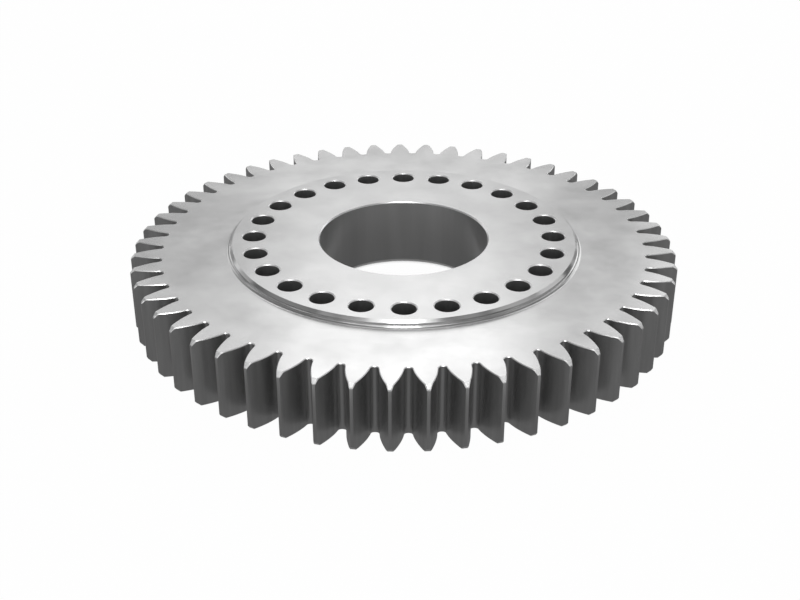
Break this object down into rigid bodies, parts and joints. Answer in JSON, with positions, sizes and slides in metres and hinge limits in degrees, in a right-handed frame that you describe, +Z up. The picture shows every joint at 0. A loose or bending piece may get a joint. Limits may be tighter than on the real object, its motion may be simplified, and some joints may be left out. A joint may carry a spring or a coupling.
{
  "type": "auxiliary drive gear",
  "caption": "Wide steel spur gear with straight chamfered teeth, a raised centre pad, a smooth bore and a ring of bolt holes.",
  "frame": {"origin": "on the gear's axis, at the flat underside that it rests on", "axes": "+Z up the axis, from the underside to the raised pad; +Y through the centre of one bolt hole"},
  "size_m": [0.2799, 0.2799, 0.0382],
  "materials": {
    "machined_steel": "turned faces and cut teeth, bare and unpolished"
  },
  "bodies": {
    "root": {"gear": "machined_steel"}
  },
  "joints": []
}
